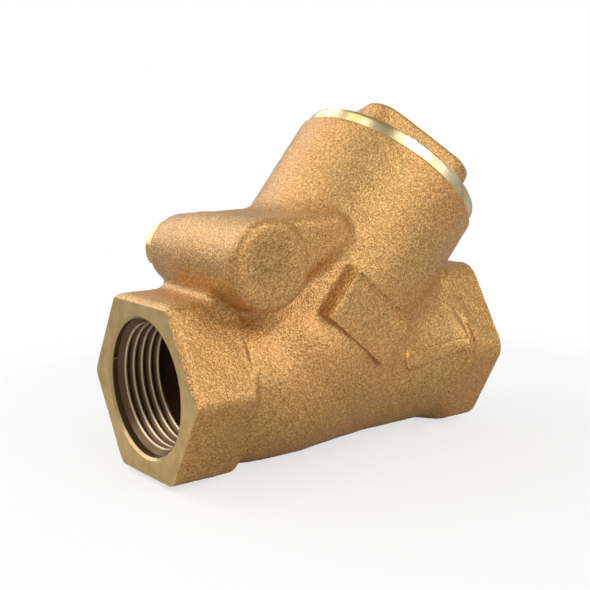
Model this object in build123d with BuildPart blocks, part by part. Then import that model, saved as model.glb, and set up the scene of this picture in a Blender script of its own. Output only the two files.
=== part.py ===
from build123d import *
from math import cos, radians, sin, tan
import os

os.makedirs("parts", exist_ok=True)

# The frame: origin at the centre of the inlet face, +X along the flow, +Z up
# Lengths are in millimetres

# Pipe ends
face_to_face = 92.5
hex_flats = 41.5
inlet_hex_run = 15.5
inlet_shoulder_run = 3.0
inlet_corner_round = 3.2
outlet_hex_run = 7.2
outlet_shoulder_run = 6.6
outlet_corner_round = 6.0
thread_radius = 16.4
thread_depth = 17.0
thread_mouth = 0.4

# Barrel along the flow
casting_wall = 4.4
inlet_barrel_step = 0.2
bulge_rise = 1.0
bulge_side = 0.5
bulge_start = 10.0
bulge_start_drop = 1.1
bulge_finish = 10.5
bulge_finish_drop = 1.5
barrel_lap = 1.0
passage_step = 1.4
outlet_passage_step = 0.4

# Neck that leans toward the outlet
neck_lean = 49.0
neck_foot = 34.4
neck_rise = 9.25
neck_draft = 0.7
neck_edge_bevel = 0.8
chamber_gap = 4.1
cap_thread_step = 0.3
cap_thread_length = 12.0
root_fillet = 4.0

# Inclined seat
seat_floor = 2.4
seat_height = 1.2
port_step = 2.5
seat_width = 1.7

# Hinge boss across the neck
hinge_x = 20.0
hinge_z = 28.9
boss_near_reach = 25.2
boss_far_reach = 19.2
boss_radius = 10.7
boss_middle_radius = 10.3
boss_far_radius = 8.3
boss_near_bevel = 2.2
boss_far_bevel = 2.4
pin_radius = 2.5
pin_near_reach = 17.0
pocket_radius = 7.0
pocket_width = 14.0
pocket_lap = 3.0
swing_open = 45.0

# Housing that carries the top of the boss on into the neck
housing_run = 20.0
housing_rise = 5.4
housing_corner = 4.5
housing_inset = 0.6
housing_setback = 3.2
housing_far_reach = 7.0
housing_bevel = 1.5

# Plug on the far end of the boss
plug_head_radius = 6.5
plug_head_thickness = 3.1
plug_seat_depth = 0.9
plug_thread_radius = 5.0
plug_thread_length = 7.0
plug_slot_width = 1.6
plug_slot_depth = 1.5

# Pad on the near side of the neck
pad_length = 22.0
pad_height = 13.4
pad_centre = 18.8
pad_reach = 25.8
pad_depth = 6.0
pad_draft = 8.0

# Cap
flange_inset = 1.0
flange_thickness = 3.1
flange_edge = 0.4
head_side = 32.4
head_height = 7.2
head_corner_round = 7.3
head_turn = 21.0
head_draft = 2.0
head_edge_bevel = 1.0
cap_wall = 4.2
cap_crown = 2.1

# Disc and hanger
seat_gap = 0.15
disc_overlap = 0.3
disc_thickness = 3.0
holder_rim = 1.5
holder_rim_depth = 2.2
holder_plate = 1.9
stem_radius = 2.6
stud_radius = 3.0
hub_radius = 5.6
hub_height = 4.4
eye_radius = 5.0
eye_width = 13.0
arm_width = 8.0
arm_sink = 1.2
arm_thin_start = 13.0
arm_thin_run = 5.0
washer_radius = 5.0
washer_thickness = 0.8
hanger_nut_flats = 8.5
hanger_nut_height = 3.2
disc_nut_flats = 9.0
disc_nut_height = 3.0
disc_nut_flange_radius = 7.0
disc_nut_flange_thickness = 1.4
thread_end = 0.9

# Clearances
pin_running = 0.06
pin_seated = 0.02
stem_running = 0.08
thread_clearance = 0.1
axial_play = 0.2
swing_clearance = 0.8
edge_break = 0.4

# Directions and places that follow from the dimensions
lean = radians(neck_lean)
along = Vector(cos(lean), 0, sin(lean))
across = Vector(-sin(lean), 0, cos(lean))
foot = Vector(neck_foot, 0, 0)
neck_plane = Plane(origin=foot, x_dir=across, z_dir=along)
swing_plane = Plane(origin=foot, x_dir=across, z_dir=(0, 1, 0))
hinge_point = Vector(hinge_x, 0, hinge_z)
hinge_plane = Plane(origin=hinge_point, x_dir=(0, 1, 0), z_dir=(1, 0, 0))
hinge_axis = Axis(hinge_point, (0, 1, 0))
hinge_side = Plane(origin=hinge_point, x_dir=(0, 0, 1), z_dir=(0, 1, 0))
hinge_out = (hinge_point - foot).dot(across)
hinge_up = (hinge_point - foot).dot(along)
corner_reach = hex_flats / 3**0.5
plug_seat = boss_far_reach - plug_seat_depth
pin_far_reach = plug_seat - plug_thread_length

# The pipe thread sets the barrel round it, the passages beyond it and the port
barrel_radius = thread_radius + casting_wall
inlet_barrel_radius = barrel_radius - inlet_barrel_step
passage_radius = thread_radius - passage_step
outlet_passage_radius = thread_radius - outlet_passage_step
port_radius = passage_radius - port_step

# The disc sets the radii round it: its holder, the chamber, the neck and the cap
# The neck's rim stands clear of the barrel on the outlet side
disc_radius = port_radius + seat_width + disc_overlap
holder_radius = disc_radius + thread_clearance + holder_rim
chamber_radius = holder_radius + chamber_gap
neck_root_radius = chamber_radius + casting_wall
neck_length = (barrel_radius + neck_root_radius * cos(lean)) / sin(lean) + neck_rise
neck_top_radius = neck_root_radius + neck_length * tan(radians(neck_draft))
cap_thread_radius = chamber_radius + cap_thread_step
flange_radius = neck_top_radius - flange_inset
bulge_width = neck_root_radius + bulge_side
bulge_height = barrel_radius + bulge_rise

# Heights along the neck, measured from the flow axis
seat_top = seat_floor + seat_height
disc_bottom = seat_top + seat_gap
disc_top = disc_bottom + disc_thickness
holder_top = disc_top + holder_plate
hub_bottom = holder_top + axial_play / 2
hub_top = hub_bottom + hub_height
washer_bottom = hub_top + axial_play / 2
hanger_nut_bottom = washer_bottom + washer_thickness
stem_top = hanger_nut_bottom + hanger_nut_height + thread_end
disc_nut_bottom = disc_bottom - disc_nut_flange_thickness - disc_nut_height
stud_bottom = disc_nut_bottom - thread_end
pocket_inner = chamber_radius - pocket_lap
pocket_inner_top = hinge_up + hinge_out - pocket_inner + swing_clearance


# One hexagonal end, turned to the given radii at the given places along the flow
def hex_end(stations, corner_round):
    first = min(x for x, radius in stations)
    last = max(x for x, radius in stations)
    with BuildPart() as end:
        with BuildSketch(Plane.YZ.offset(first)) as outline:
            RegularPolygon(hex_flats / 2, 6, major_radius=False)
            fillet(outline.vertices(), corner_round)
        extrude(amount=last - first)
        with BuildSketch(Plane.XZ):
            with BuildLine():
                Polyline((stations[0][0], 0), *stations, (stations[-1][0], 0), close=True)
            make_face()
        revolve(axis=Axis.X, mode=Mode.INTERSECT)
    return end.part


inlet_end = hex_end(
    [
        (0, corner_reach),
        (inlet_hex_run, corner_reach),
        (inlet_hex_run + inlet_shoulder_run, inlet_barrel_radius),
    ],
    inlet_corner_round,
)
outlet_end = hex_end(
    [
        (face_to_face, corner_reach),
        (face_to_face - outlet_hex_run, corner_reach),
        (face_to_face - outlet_hex_run - outlet_shoulder_run, barrel_radius),
    ],
    outlet_corner_round,
)

# The barrel swells round the seat: half widths and half heights along the flow
swell_end = neck_foot + barrel_radius
swell = [
    (inlet_hex_run - barrel_lap, inlet_barrel_radius, inlet_barrel_radius),
    (neck_foot - bulge_start, bulge_width - bulge_start_drop, bulge_height),
    (neck_foot, bulge_width, bulge_height),
    (neck_foot + bulge_finish, bulge_width - bulge_finish_drop, (bulge_height + barrel_radius) / 2),
    (swell_end, barrel_radius, barrel_radius),
]
with BuildPart() as barrel:
    for x, half_width, half_height in swell:
        with BuildSketch(Plane.YZ.offset(x)):
            Ellipse(half_width, half_height)
    loft()
    with BuildSketch(Plane.YZ.offset(swell_end)):
        Circle(barrel_radius)
    extrude(amount=face_to_face - outlet_hex_run - swell_end)

# Passage under the seat wall, and passage beyond it
with BuildPart() as inlet_passage:
    with BuildSketch(Plane.YZ.offset(thread_depth)):
        Circle(passage_radius)
    extrude(amount=face_to_face)
    split(bisect_by=neck_plane.offset(seat_floor - casting_wall), keep=Keep.BOTTOM)

with BuildPart() as outlet_passage:
    with BuildSketch(Plane.YZ.offset(face_to_face - thread_depth)):
        Circle(outlet_passage_radius)
    extrude(amount=-face_to_face)
    split(bisect_by=neck_plane.offset(seat_floor), keep=Keep.TOP)

# Boss outline turned about the hinge axis
with BuildPart() as boss:
    with BuildSketch(hinge_plane) as boss_outline:
        with BuildLine():
            Polyline(
                (-boss_near_reach, 0),
                (-boss_near_reach, boss_radius),
                (0, boss_middle_radius),
                (boss_far_reach, boss_far_radius),
                (boss_far_reach, 0),
                close=True,
            )
        make_face()
        chamfer(boss_outline.vertices().group_by(Axis.X)[0].sort_by(Axis.Y)[-1], boss_near_bevel)
        chamfer(boss_outline.vertices().group_by(Axis.X)[-1].sort_by(Axis.Y)[-1], boss_far_bevel)
    revolve(axis=hinge_axis)

# Housing outline stretched round the boss and one smaller corner
with BuildPart() as housing:
    with BuildSketch(hinge_side.offset(housing_setback - boss_near_reach)):
        Circle(boss_middle_radius - housing_inset)
        with Locations((housing_rise, housing_run)):
            Circle(housing_corner)
        make_hull()
    extrude(amount=boss_near_reach - housing_setback + housing_far_reach)
    chamfer(housing.faces().group_by(Axis.Y)[0].edges(), housing_bevel)
    chamfer(housing.faces().group_by(Axis.Y)[-1].edges(), housing_bevel)

# Casting
with BuildPart() as valve_body:
    add(barrel.part)
    with BuildSketch(swing_plane) as neck_outline:
        with BuildLine():
            Polyline((0, 0), (neck_root_radius, 0), (neck_top_radius, neck_length), (0, neck_length), close=True)
        make_face()
        chamfer(neck_outline.vertices().group_by(Axis.Y)[-1].sort_by(Axis.X)[-1], neck_edge_bevel)
    revolve(axis=Axis(foot, along))
    valley = valve_body.edges().filter_by(GeomType.BSPLINE)
    fillet(valley.filter_by_position(Axis.Z, barrel_radius / 4, barrel_radius), root_fillet)
    add(boss.part)
    add(housing.part)
    add(inlet_end)
    add(outlet_end)

    # Raised pad, square to the neck
    with BuildSketch(swing_plane.offset(-pad_reach)):
        with Locations((0, pad_centre)):
            Rectangle(pad_length, pad_height)
    extrude(amount=pad_depth, taper=-pad_draft)

    # Spot face for the plug
    with BuildSketch(hinge_side.offset(plug_seat)):
        Circle(boss_radius)
    extrude(amount=boss_far_reach, mode=Mode.SUBTRACT)

    # Passages on both sides of the seat wall
    add(inlet_passage.part, mode=Mode.SUBTRACT)
    add(outlet_passage.part, mode=Mode.SUBTRACT)
    with BuildSketch(neck_plane.offset(seat_floor)):
        Circle(chamber_radius)
    extrude(amount=neck_length - cap_thread_length - seat_floor, mode=Mode.SUBTRACT)
    with BuildSketch(neck_plane.offset(neck_length)):
        Circle(cap_thread_radius)
    extrude(amount=-cap_thread_length - edge_break, mode=Mode.SUBTRACT)

    # Seat ring and port
    with BuildSketch(neck_plane.offset(seat_floor - edge_break)):
        Circle(port_radius + seat_width)
    extrude(amount=seat_height + edge_break)
    with BuildSketch(neck_plane.offset(seat_top)):
        Circle(port_radius)
    extrude(amount=-seat_height - casting_wall - edge_break, mode=Mode.SUBTRACT)

    # Pocket for the hanger's eye, open to the chamber as far as the arm swings
    with BuildSketch(swing_plane):
        with Locations((hinge_out, hinge_up)):
            Circle(pocket_radius)
        with BuildLine():
            Polyline(
                (hinge_out, hinge_up - pocket_radius),
                (pocket_inner, hinge_up - pocket_radius),
                (pocket_inner, pocket_inner_top),
                (
                    hinge_out - pocket_radius * cos(radians(swing_open)),
                    hinge_up + pocket_radius * sin(radians(swing_open)),
                ),
                (hinge_out, hinge_up),
                close=True,
            )
        make_face()
    extrude(amount=pocket_width / 2, both=True, mode=Mode.SUBTRACT)

    # Pin holes and the tapped hole for the plug
    with BuildSketch(hinge_side.offset(-pin_near_reach)):
        Circle(pin_radius + pin_seated)
    extrude(amount=pin_near_reach + plug_seat, mode=Mode.SUBTRACT)
    with BuildSketch(hinge_side.offset(pin_far_reach)):
        Circle(plug_thread_radius + thread_clearance)
    extrude(amount=plug_thread_length, mode=Mode.SUBTRACT)

    # Pipe threads
    with BuildSketch(Plane.YZ):
        Circle(thread_radius)
    extrude(amount=thread_depth, mode=Mode.SUBTRACT)
    with BuildSketch(Plane.YZ.offset(face_to_face)):
        Circle(thread_radius)
    extrude(amount=-thread_depth, mode=Mode.SUBTRACT)
    mouths = valve_body.edges().filter_by(GeomType.CIRCLE)
    chamfer(mouths.group_by(Axis.X)[0].sort_by(SortBy.LENGTH)[-1], thread_mouth)
    chamfer(mouths.group_by(Axis.X)[-1].sort_by(SortBy.LENGTH)[-1], thread_mouth)
valve_body.part.label = "valve_body"
export_step(valve_body.part, "parts/valve_body.step")

# Screwed cap with its square head, open inside
with BuildPart() as cap:
    with BuildSketch(neck_plane.offset(neck_length)):
        Circle(flange_radius)
    extrude(amount=flange_thickness)
    chamfer(cap.edges().filter_by(GeomType.CIRCLE).sort_by(Axis(foot, along))[-1], flange_edge)
    with BuildSketch(neck_plane.offset(neck_length + flange_thickness)) as head:
        Rectangle(head_side, head_side, rotation=-head_turn)
        fillet(head.vertices(), head_corner_round)
    extrude(amount=head_height, taper=head_draft)
    chamfer(cap.faces().sort_by(Axis(foot, along))[-1].edges(), head_edge_bevel)
    with BuildSketch(neck_plane.offset(neck_length)):
        Circle(cap_thread_radius - thread_clearance)
    extrude(amount=-cap_thread_length)
    with BuildSketch(swing_plane):
        with BuildLine():
            Polyline(
                (0, neck_length - cap_thread_length),
                (cap_thread_radius - cap_wall, neck_length - cap_thread_length),
                (cap_thread_radius - cap_wall, neck_length),
                (head_side / 2 - cap_wall, neck_length + head_height - cap_crown),
                (0, neck_length + head_height - cap_crown),
                close=True,
            )
        make_face()
    revolve(axis=Axis(foot, along), mode=Mode.SUBTRACT)
cap.part.label = "cap"
export_step(cap.part, "parts/cap.step")

# Hinge pin, from the blind hole to just short of the plug
with BuildPart() as hinge_pin:
    with BuildSketch(hinge_side.offset(axial_play - pin_near_reach)):
        Circle(pin_radius)
    extrude(amount=pin_near_reach + pin_far_reach - 2 * axial_play)
    chamfer(hinge_pin.edges().filter_by(GeomType.CIRCLE), edge_break)
hinge_pin.part.label = "hinge_pin"
export_step(hinge_pin.part, "parts/hinge_pin.step")

# Screwed plug over the pin, with a slot for a driver
with BuildPart() as hinge_pin_plug:
    with BuildSketch(hinge_side.offset(plug_seat)):
        Circle(plug_head_radius)
    extrude(amount=plug_head_thickness)
    chamfer(hinge_pin_plug.edges().filter_by(GeomType.CIRCLE).sort_by(Axis.Y)[-1], edge_break)
    with BuildSketch(hinge_side.offset(plug_seat)):
        Circle(plug_thread_radius)
    extrude(amount=axial_play - plug_thread_length)
    with BuildSketch(hinge_side.offset(plug_seat + plug_head_thickness)):
        Rectangle(2 * plug_head_radius, plug_slot_width, rotation=neck_lean)
    extrude(amount=-plug_slot_depth, mode=Mode.SUBTRACT)
hinge_pin_plug.part.label = "hinge_pin_plug"
export_step(hinge_pin_plug.part, "parts/hinge_pin_plug.step")

# Swing arm: eye on the pin, arm, hub round the disc's stem
with BuildPart() as disc_hanger:
    with BuildSketch(swing_plane):
        with Locations((hinge_out, hinge_up)):
            Circle(eye_radius)
    extrude(amount=eye_width / 2, both=True)
    with BuildSketch(swing_plane):
        with BuildLine():
            Polyline(
                (0, hub_bottom),
                (holder_radius + swing_clearance, hub_bottom),
                (hinge_out - eye_radius, hinge_up - eye_radius + edge_break),
                (hinge_out, hinge_up - eye_radius + edge_break),
                (hinge_out, hinge_up - arm_sink),
                (arm_thin_start + arm_thin_run, hinge_up - arm_sink),
                (arm_thin_start, hub_top),
                (0, hub_top),
                close=True,
            )
        make_face()
    extrude(amount=arm_width / 2, both=True)
    with BuildSketch(neck_plane.offset(hub_bottom)):
        Circle(hub_radius)
    extrude(amount=hub_height)
    with BuildSketch(neck_plane.offset(hub_bottom)):
        Circle(stem_radius + stem_running)
    extrude(amount=hub_height, mode=Mode.SUBTRACT)
    with BuildSketch(swing_plane):
        with Locations((hinge_out, hinge_up)):
            Circle(pin_radius + pin_running)
    extrude(amount=eye_width / 2, both=True, mode=Mode.SUBTRACT)
disc_hanger.part.label = "disc_hanger"
export_step(disc_hanger.part, "parts/disc_hanger.step")

# Backing plate with a rim round the soft disc, a stem above and a stud below
with BuildPart() as disc_holder:
    with BuildSketch(swing_plane):
        with BuildLine():
            Polyline(
                (0, stud_bottom),
                (stud_radius, stud_bottom),
                (stud_radius, disc_top),
                (disc_radius + thread_clearance, disc_top),
                (disc_radius + thread_clearance, disc_top - holder_rim_depth),
                (holder_radius, disc_top - holder_rim_depth),
                (holder_radius, holder_top),
                (stem_radius, holder_top),
                (stem_radius, stem_top),
                (0, stem_top),
                close=True,
            )
        make_face()
    revolve(axis=Axis(foot, along))
    rims = disc_holder.edges().filter_by(GeomType.CIRCLE)
    chamfer(rims.group_by(SortBy.LENGTH)[-1].sort_by(Axis(foot, along))[-1], edge_break)
disc_holder.part.label = "disc_holder"
export_step(disc_holder.part, "parts/disc_holder.step")

# Soft ring that closes on the seat
with BuildPart() as seat_disc:
    with BuildSketch(neck_plane.offset(disc_bottom)):
        Circle(disc_radius)
        Circle(stud_radius + thread_clearance, mode=Mode.SUBTRACT)
    extrude(amount=disc_thickness)
seat_disc.part.label = "seat_disc"
export_step(seat_disc.part, "parts/seat_disc.step")

# Flanged nut under the soft ring
with BuildPart() as seat_disc_nut:
    with BuildSketch(neck_plane.offset(disc_nut_bottom)):
        RegularPolygon(disc_nut_flats / 2, 6, major_radius=False)
    extrude(amount=disc_nut_height)
    with BuildSketch(neck_plane.offset(disc_nut_bottom + disc_nut_height)):
        Circle(disc_nut_flange_radius)
    extrude(amount=disc_nut_flange_thickness)
    with BuildSketch(neck_plane.offset(disc_nut_bottom)):
        Circle(stud_radius + thread_clearance)
    extrude(amount=disc_nut_height + disc_nut_flange_thickness, mode=Mode.SUBTRACT)
seat_disc_nut.part.label = "seat_disc_nut"
export_step(seat_disc_nut.part, "parts/seat_disc_nut.step")

# Washer and nut that keep the disc on the hanger
with BuildPart() as hanger_washer:
    with BuildSketch(neck_plane.offset(washer_bottom)):
        Circle(washer_radius)
        Circle(stem_radius + thread_clearance, mode=Mode.SUBTRACT)
    extrude(amount=washer_thickness)
hanger_washer.part.label = "hanger_washer"
export_step(hanger_washer.part, "parts/hanger_washer.step")

with BuildPart() as hanger_nut:
    with BuildSketch(neck_plane.offset(hanger_nut_bottom)):
        RegularPolygon(hanger_nut_flats / 2, 6, major_radius=False)
        Circle(stem_radius + thread_clearance, mode=Mode.SUBTRACT)
    extrude(amount=hanger_nut_height)
hanger_nut.part.label = "hanger_nut"
export_step(hanger_nut.part, "parts/hanger_nut.step")
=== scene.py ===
from math import cos, pi, radians, sin, sqrt

import bpy
import numpy as np
from mathutils import Matrix, Vector


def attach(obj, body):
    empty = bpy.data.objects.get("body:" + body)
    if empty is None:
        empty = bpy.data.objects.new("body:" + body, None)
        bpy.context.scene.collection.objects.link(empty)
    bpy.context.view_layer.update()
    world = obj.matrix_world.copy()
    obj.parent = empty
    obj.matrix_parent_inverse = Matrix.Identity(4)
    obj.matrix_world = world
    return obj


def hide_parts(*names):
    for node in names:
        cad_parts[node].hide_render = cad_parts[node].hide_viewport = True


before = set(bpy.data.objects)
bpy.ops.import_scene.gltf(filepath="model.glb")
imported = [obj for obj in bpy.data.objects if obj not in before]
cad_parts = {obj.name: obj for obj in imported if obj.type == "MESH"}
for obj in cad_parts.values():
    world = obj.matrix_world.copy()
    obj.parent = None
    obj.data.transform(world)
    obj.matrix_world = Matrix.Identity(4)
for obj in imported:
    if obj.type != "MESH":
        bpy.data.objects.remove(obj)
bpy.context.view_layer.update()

mm = 0.001
print("frame loaded")

# Lay-out shared by all pieces, in millimetres: the neck leans over the flow axis
layout = {
    "faceToFace": 92.5,
    "neckLean": radians(49.0),
    "neckFoot": 34.4,
    "neckLength": 58.2,
    "hingeX": 20.0,
    "hingeZ": 28.9,
}
leanCos = cos(layout["neckLean"])
leanSin = sin(layout["neckLean"])


def neckCoordinates(x, z):
    # across the neck (n) and along it (t)
    u = x - layout["neckFoot"]
    return -u * leanSin + z * leanCos, u * leanCos + z * leanSin


def roundUnion(a, b, r):
    # joins two forms with a round fillet
    return np.maximum(r, np.minimum(a, b)) - np.hypot(np.maximum(r - a, 0), np.maximum(r - b, 0))


def roundCut(a, b, r):
    # keeps what both forms share, with a rounded edge
    return np.minimum(-r, np.maximum(a, b)) + np.hypot(np.maximum(r + a, 0), np.maximum(r + b, 0))


def taperedBar(p, q, start, finish, startRadius, finishRadius):
    # flat bar with round ends of two radii, from one point to another
    runP, runQ = finish[0] - start[0], finish[1] - start[1]
    length = sqrt(runP * runP + runQ * runQ)
    p, q = p - start[0], q - start[1]
    along, beside = (p * runP + q * runQ) / length, np.abs(p * runQ - q * runP) / length
    slope = (startRadius - finishRadius) / length
    level = sqrt(1 - slope * slope)
    k = -beside * slope + along * level
    middle = beside * level + along * slope - startRadius
    atStart = np.hypot(along, beside) - startRadius
    atFinish = np.hypot(along - length, beside) - finishRadius
    return np.where(k < 0, atStart, np.where(k > level * length, atFinish, middle))


def hexSection(y, z, halfFlats, cornerRound):
    # hexagon with its flats above and below and rounded corners
    apothem = halfFlats - cornerRound
    y, z = np.abs(y), np.abs(z)
    fold = 2 * np.minimum(-0.5 * sqrt(3) * y + 0.5 * z, 0)
    y, z = y + fold * 0.5 * sqrt(3), z - fold * 0.5
    reach = apothem / sqrt(3)
    dy, dz = y - np.clip(y, -reach, reach), z - apothem
    return np.hypot(dy, dz) * np.sign(dz) - cornerRound


# Slow unevenness of a sand casting: crossed waves that never line up
castWaves = {  # for each wave its stretch, its slants along x, y and z, and its shift
    "broad": ((1.0, 1.0, 0.35, 0.0, 1.7), (1.0, 0.0, 0.9, -0.3, 0.4), (1.0, 0.25, 0.0, 1.0, 2.6)),
    "fine": ((2.3, 1.0, 0.0, -0.6, 0.0), (2.1, 0.5, 1.0, 0.0, 1.1), (2.6, 0.0, 0.4, 1.0, 0.0)),
    "shares": {"broad": 1.0, "fine": 0.45},
}


def castWobble(x, y, z, amplitude, length):
    k = 2 * pi / length
    height = 1.0
    for kind, share in castWaves["shares"].items():
        waves = 1.0
        for stretch, slantX, slantY, slantZ, shift in castWaves[kind]:
            waves = waves * np.sin(stretch * k * (slantX * x + slantY * y + slantZ * z + shift))
        height = height + share * waves
    return amplitude * height


# Meshing of distance fields
contour = {
    "slab": 24,  # grid planes measured at once
    "closingSteps": 5,  # steps in closing in on a crossing
    "closingMargin": 0.05,
    "slopeReach": 0.01,  # mm to either side
    "pull": 0.06,  # draws a vertex toward the middle of its crossings
    "leave": 0.1,  # how far a vertex may leave its cell, in grid steps
}


def measureGrid(field, axes):
    # the field's value at every grid point, a few planes at a time
    values = np.empty([len(a) for a in axes], np.float32)
    y, z = axes[1][None, :, None], axes[2][None, None, :]
    for first in range(0, len(axes[0]), contour["slab"]):
        planes = slice(first, first + contour["slab"])
        x = axes[0][planes, None, None]
        values[planes] = field(x + 0 * y + 0 * z, 0 * x + y + 0 * z, 0 * x + 0 * y + z)
    return values


def closeIn(field, start, axis, step, a, b):
    # where the field changes sign on a grid line, from its values at two grid points
    near, far = np.zeros(len(a)), np.ones(len(a))
    margin = contour["closingMargin"]
    place = start.copy()
    for _ in range(contour["closingSteps"]):
        share = near + (far - near) * np.clip(a / (a - b), margin, 1 - margin)
        place[:, axis] = start[:, axis] + share * step
        v = field(place[:, 0], place[:, 1], place[:, 2])
        same = (v < 0) == (a < 0)
        near, a = np.where(same, share, near), np.where(same, v, a)
        far, b = np.where(same, far, share), np.where(same, b, v)
    share = near + (far - near) * a / (a - b)
    place[:, axis] = start[:, axis] + share * step
    return place


def measureSlope(field, place):
    # the direction in which the field grows
    reach = contour["slopeReach"]
    slope = np.empty_like(place)
    for i in range(3):
        shift = [place[:, 0], place[:, 1], place[:, 2]]
        shift[i] = shift[i] + reach
        up = field(*shift)
        shift[i] = shift[i] - 2 * reach
        slope[:, i] = up - field(*shift)
    return slope / np.maximum(np.linalg.norm(slope, axis=1, keepdims=True), 1e-12)


def findCrossings(field, axes, step):
    # places and slopes where grid lines pass the surface, the four cells round each, and its quad
    values = measureGrid(field, axes)
    inside = values < 0
    strides = np.array([values.shape[1] * values.shape[2], values.shape[2], 1])
    places, slopes, cells, quads = [], [], [], []
    for axis in range(3):
        other = [i for i in range(3) if i != axis]
        head = [slice(1, -1)] * 3
        head[axis] = slice(0, -1)
        tail = [slice(1, -1)] * 3
        tail[axis] = slice(1, None)
        lower, upper = inside[tuple(head)], inside[tuple(tail)]
        index = np.argwhere(lower != upper)
        forward = lower[tuple(index.T)] != (axis == 1)  # the middle axis turns a quad round
        index[:, other] += 1
        ahead = index.copy()
        ahead[:, axis] += 1
        start = np.stack([axes[i][index[:, i]] for i in range(3)], 1)
        a, b = values[tuple(index.T)].astype(float), values[tuple(ahead.T)].astype(float)
        place = closeIn(field, start, axis, step, a, b)
        one = index @ strides
        aside, above = strides[other]
        around = np.stack((one, one - aside, one - aside - above, one - above), 1)
        places.append(place)
        slopes.append(measureSlope(field, place))
        cells.append(around)
        quads.append(np.where(forward[:, None], around, around[:, ::-1]))
    return [np.concatenate(rows) for rows in (places, slopes, cells, quads)]


def settleVertices(axes, step, places, slopes, cells):
    # one vertex for each cell, where the planes through its crossings meet
    ids, owner = np.unique(cells, return_inverse=True)
    owner = owner.ravel()
    count = len(ids)
    p, n = np.repeat(places, 4, axis=0), np.repeat(slopes, 4, axis=0)
    total = np.bincount(owner, minlength=count)
    mean = np.stack([np.bincount(owner, p[:, i], count) / total for i in range(3)], 1)
    offset = np.einsum("ij,ij->i", n, p - mean[owner])
    matrix = np.empty((count, 3, 3))
    right = np.empty((count, 3))
    for i in range(3):
        right[:, i] = np.bincount(owner, n[:, i] * offset, count)
        for j in range(i, 3):
            matrix[:, i, j] = matrix[:, j, i] = np.bincount(owner, n[:, i] * n[:, j], count)
    matrix += contour["pull"] * np.eye(3)
    grid = np.unravel_index(ids, [len(a) for a in axes])
    corner = np.stack([a[i] for a, i in zip(axes, grid)], 1)
    place = mean + np.linalg.solve(matrix, right[:, :, None])[:, :, 0]
    leave = contour["leave"]
    return ids, np.clip(place, corner - leave * step, corner + (1 + leave) * step)


def contourMesh(name, field, box, step, toFrame=None):
    # meshes the zero surface of a distance field, with sharp edges where the field has them
    axes = [np.arange(low, high + step, step) for low, high in zip(*box)]
    places, slopes, cells, quads = findCrossings(field, axes, step)
    ids, place = settleVertices(axes, step, places, slopes, cells)
    faces = np.searchsorted(ids, quads)
    if toFrame is not None:
        place = toFrame(place)
    mesh = bpy.data.meshes.new(name)
    mesh.vertices.add(len(place))
    mesh.vertices.foreach_set("co", (place * mm).ravel())
    mesh.loops.add(4 * len(faces))
    mesh.loops.foreach_set("vertex_index", faces.ravel().astype(np.int32))
    mesh.polygons.add(len(faces))
    mesh.polygons.foreach_set("loop_start", np.arange(0, 4 * len(faces), 4, dtype=np.int32))
    mesh.update(calc_edges=True)
    mesh.validate()
    return mesh


def addObject(name, mesh):
    piece = bpy.data.objects.new(name, mesh)
    bpy.context.scene.collection.objects.link(piece)
    return piece


def bakeModifiers(piece):
    graph = bpy.context.evaluated_depsgraph_get()
    plain = bpy.data.meshes.new_from_object(piece.evaluated_get(graph))
    piece.modifiers.clear()
    piece.data = plain
    return plain


def thinOut(piece, limit):
    # keeps a dense mesh under a number of triangles
    triangles = sum(len(f.vertices) - 2 for f in piece.data.polygons)
    if triangles > limit:
        thin = piece.modifiers.new("thin", "DECIMATE")
        thin.ratio = limit / triangles
        bakeModifiers(piece)
    print(piece.name, "triangles", triangles, "to", sum(len(f.vertices) - 2 for f in piece.data.polygons))


def shadeSmooth(mesh, angle):
    mesh.polygons.foreach_set("use_smooth", [True] * len(mesh.polygons))
    mesh.set_sharp_from_angle(angle=radians(angle))


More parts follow.
